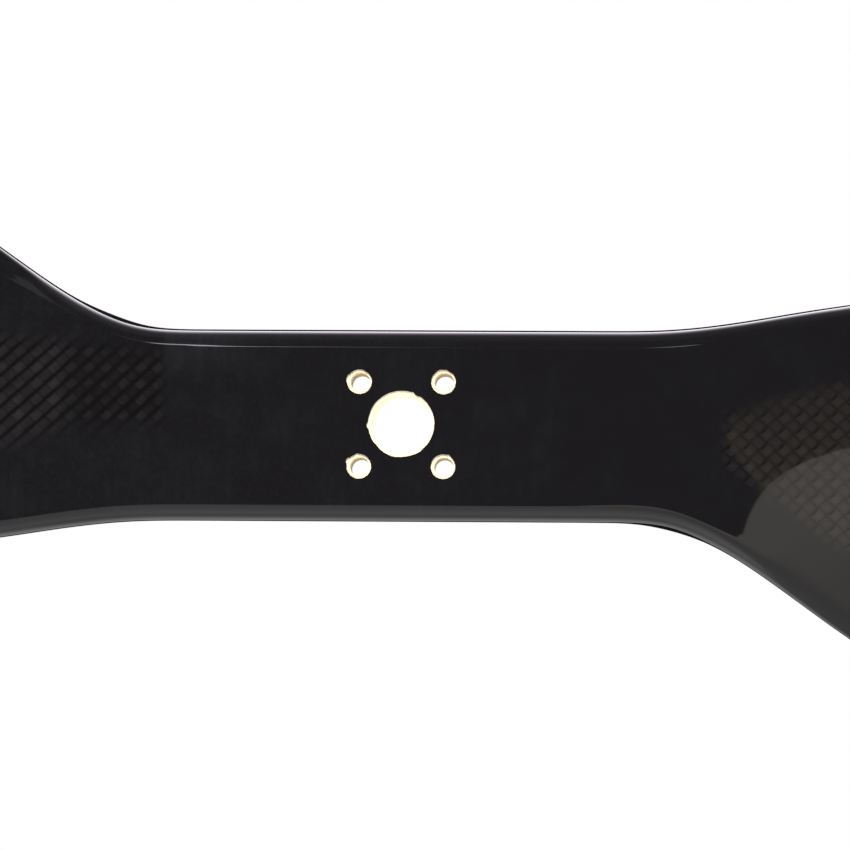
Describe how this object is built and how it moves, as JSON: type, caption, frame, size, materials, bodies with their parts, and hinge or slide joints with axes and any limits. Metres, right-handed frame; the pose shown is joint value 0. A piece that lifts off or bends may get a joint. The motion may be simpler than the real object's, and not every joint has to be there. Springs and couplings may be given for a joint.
{
  "type": "propeller",
  "caption": "Fixed-pitch propeller moulded in one piece: a flat rectangular drilled hub flows into twisted, tapering blades with glossy woven carbon skins.",
  "frame": {"origin": "on the hub's axis, half way through its thickness, on the parting line between the upper and lower skins", "axes": "+X runs along the right blade, +Y is forward at the right blade (its leading edge side), +Z is the way the propeller pulls. Seen from +Z it turns anticlockwise."},
  "size_m": [0.762, 0.0932, 0.0259],
  "materials": {
    "woven_carbon": "plain-weave carbon cloth under clear, glossy resin",
    "carbon_tape": "unidirectional carbon in resin, unpolished",
    "beech": "pale hardwood, drilled and unfinished",
    "balsa": "light wood, upright grain, unfinished",
    "structural_foam": "rigid closed-cell foam, cream",
    "bonding_paste": "thickened epoxy, cured",
    "filled_resin": "resin filled with chopped carbon"
  },
  "bodies": {
    "root": {"upper_skin": "woven_carbon", "lower_skin": "woven_carbon", "right_upper_spar_cap": "carbon_tape", "left_upper_spar_cap": "carbon_tape", "right_lower_spar_cap": "carbon_tape", "left_lower_spar_cap": "carbon_tape", "hub_core": "beech", "front_hub_seam_bead": "bonding_paste", "rear_hub_seam_bead": "bonding_paste", "right_nose_core": "structural_foam", "left_nose_core": "structural_foam", "right_tail_core": "structural_foam", "left_tail_core": "structural_foam", "right_shear_web": "balsa", "left_shear_web": "balsa", "right_leading_edge_tow": "carbon_tape", "left_leading_edge_tow": "carbon_tape", "right_trailing_edge_bond": "bonding_paste", "left_trailing_edge_bond": "bonding_paste", "right_tip_fill": "filled_resin", "left_tip_fill": "filled_resin"}
  },
  "joints": []
}
